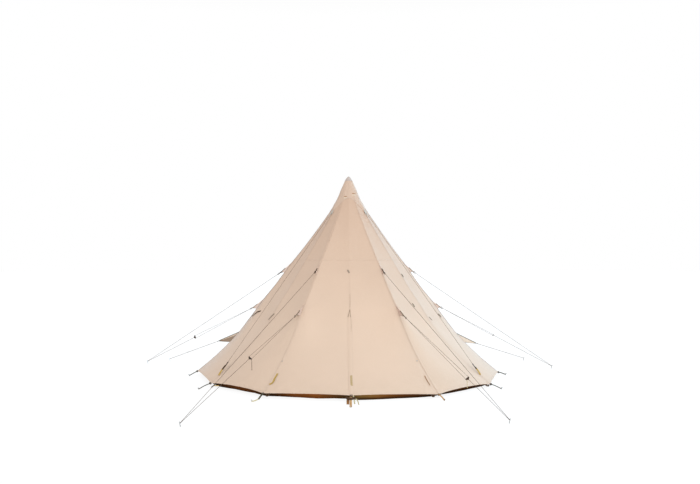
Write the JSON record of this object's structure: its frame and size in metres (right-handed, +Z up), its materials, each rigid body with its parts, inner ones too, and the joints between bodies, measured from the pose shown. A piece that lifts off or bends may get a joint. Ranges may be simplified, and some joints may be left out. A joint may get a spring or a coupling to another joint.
{
  "type": "tipi tent",
  "caption": "Pitched tipi tent of cotton canvas on one centre pole, with a vent cap, zipped door, low vent hoods, hem skirt, taut guy lines and ground pegs.",
  "frame": {"origin": "on the ground under the centre pole, at the underside of the pole foot", "axes": "+Z up; the zipped door faces -Y and +X is to the right of someone who looks at the door"},
  "size_m": [7.96, 8.8798, 3.625],
  "materials": {
    "canvas": "sand-coloured cotton canvas, matt",
    "canvas_cap": "the same canvas, a little greyer",
    "skirt_cloth": "dark brown coated polyester",
    "webbing": "ochre woven webbing",
    "line": "dark braided cord",
    "pole_metal": "satin tube",
    "peg_metal": "dull round bar",
    "plastic": "black moulded plastic"
  },
  "bodies": {
    "root": {"wall_panel_01": "canvas", "wall_panel_02": "canvas", "wall_panel_03": "canvas", "wall_panel_04": "canvas", "wall_panel_05": "canvas", "wall_panel_06": "canvas", "wall_panel_07": "canvas", "wall_panel_08": "canvas", "wall_panel_09": "canvas", "wall_panel_10": "canvas", "wall_panel_11": "canvas", "wall_panel_12": "canvas", "vent_cap": "canvas_cap", "hem_skirt": "skirt_cloth", "door_zip_flap": "canvas", "vent_hood_left": "canvas", "vent_hood_right": "canvas", "pole_foot": "plastic", "pole_lower_tube": "pole_metal", "pole_upper_tube": "pole_metal", "pole_head": "plastic", "guy_pair_front_right": "line", "guy_pair_right": "line", "guy_pair_rear_right": "line", "guy_pair_rear_left": "line", "guy_pair_left": "line", "guy_pair_front_left": "line", "guy_peg_front_right": "peg_metal", "guy_peg_right": "peg_metal", "guy_peg_rear_right": "peg_metal", "guy_peg_rear_left": "peg_metal", "guy_peg_left": "peg_metal", "guy_peg_front_left": "peg_metal", "vent_guy_left": "line", "vent_guy_right": "line", "vent_peg_left": "peg_metal", "vent_peg_right": "peg_metal", "cap_cord_front_right": "line", "cap_cord_rear_right": "line", "cap_cord_rear_left": "line", "cap_cord_front_left": "line", "hem_anchor_01": "webbing", "hem_anchor_02": "webbing", "hem_anchor_03": "webbing", "hem_anchor_04": "webbing", "hem_anchor_05": "webbing", "hem_anchor_06": "webbing", "hem_anchor_07": "webbing", "hem_anchor_08": "webbing", "hem_anchor_09": "webbing", "hem_anchor_10": "webbing", "hem_anchor_11": "webbing", "hem_anchor_12": "webbing"}
  },
  "joints": []
}
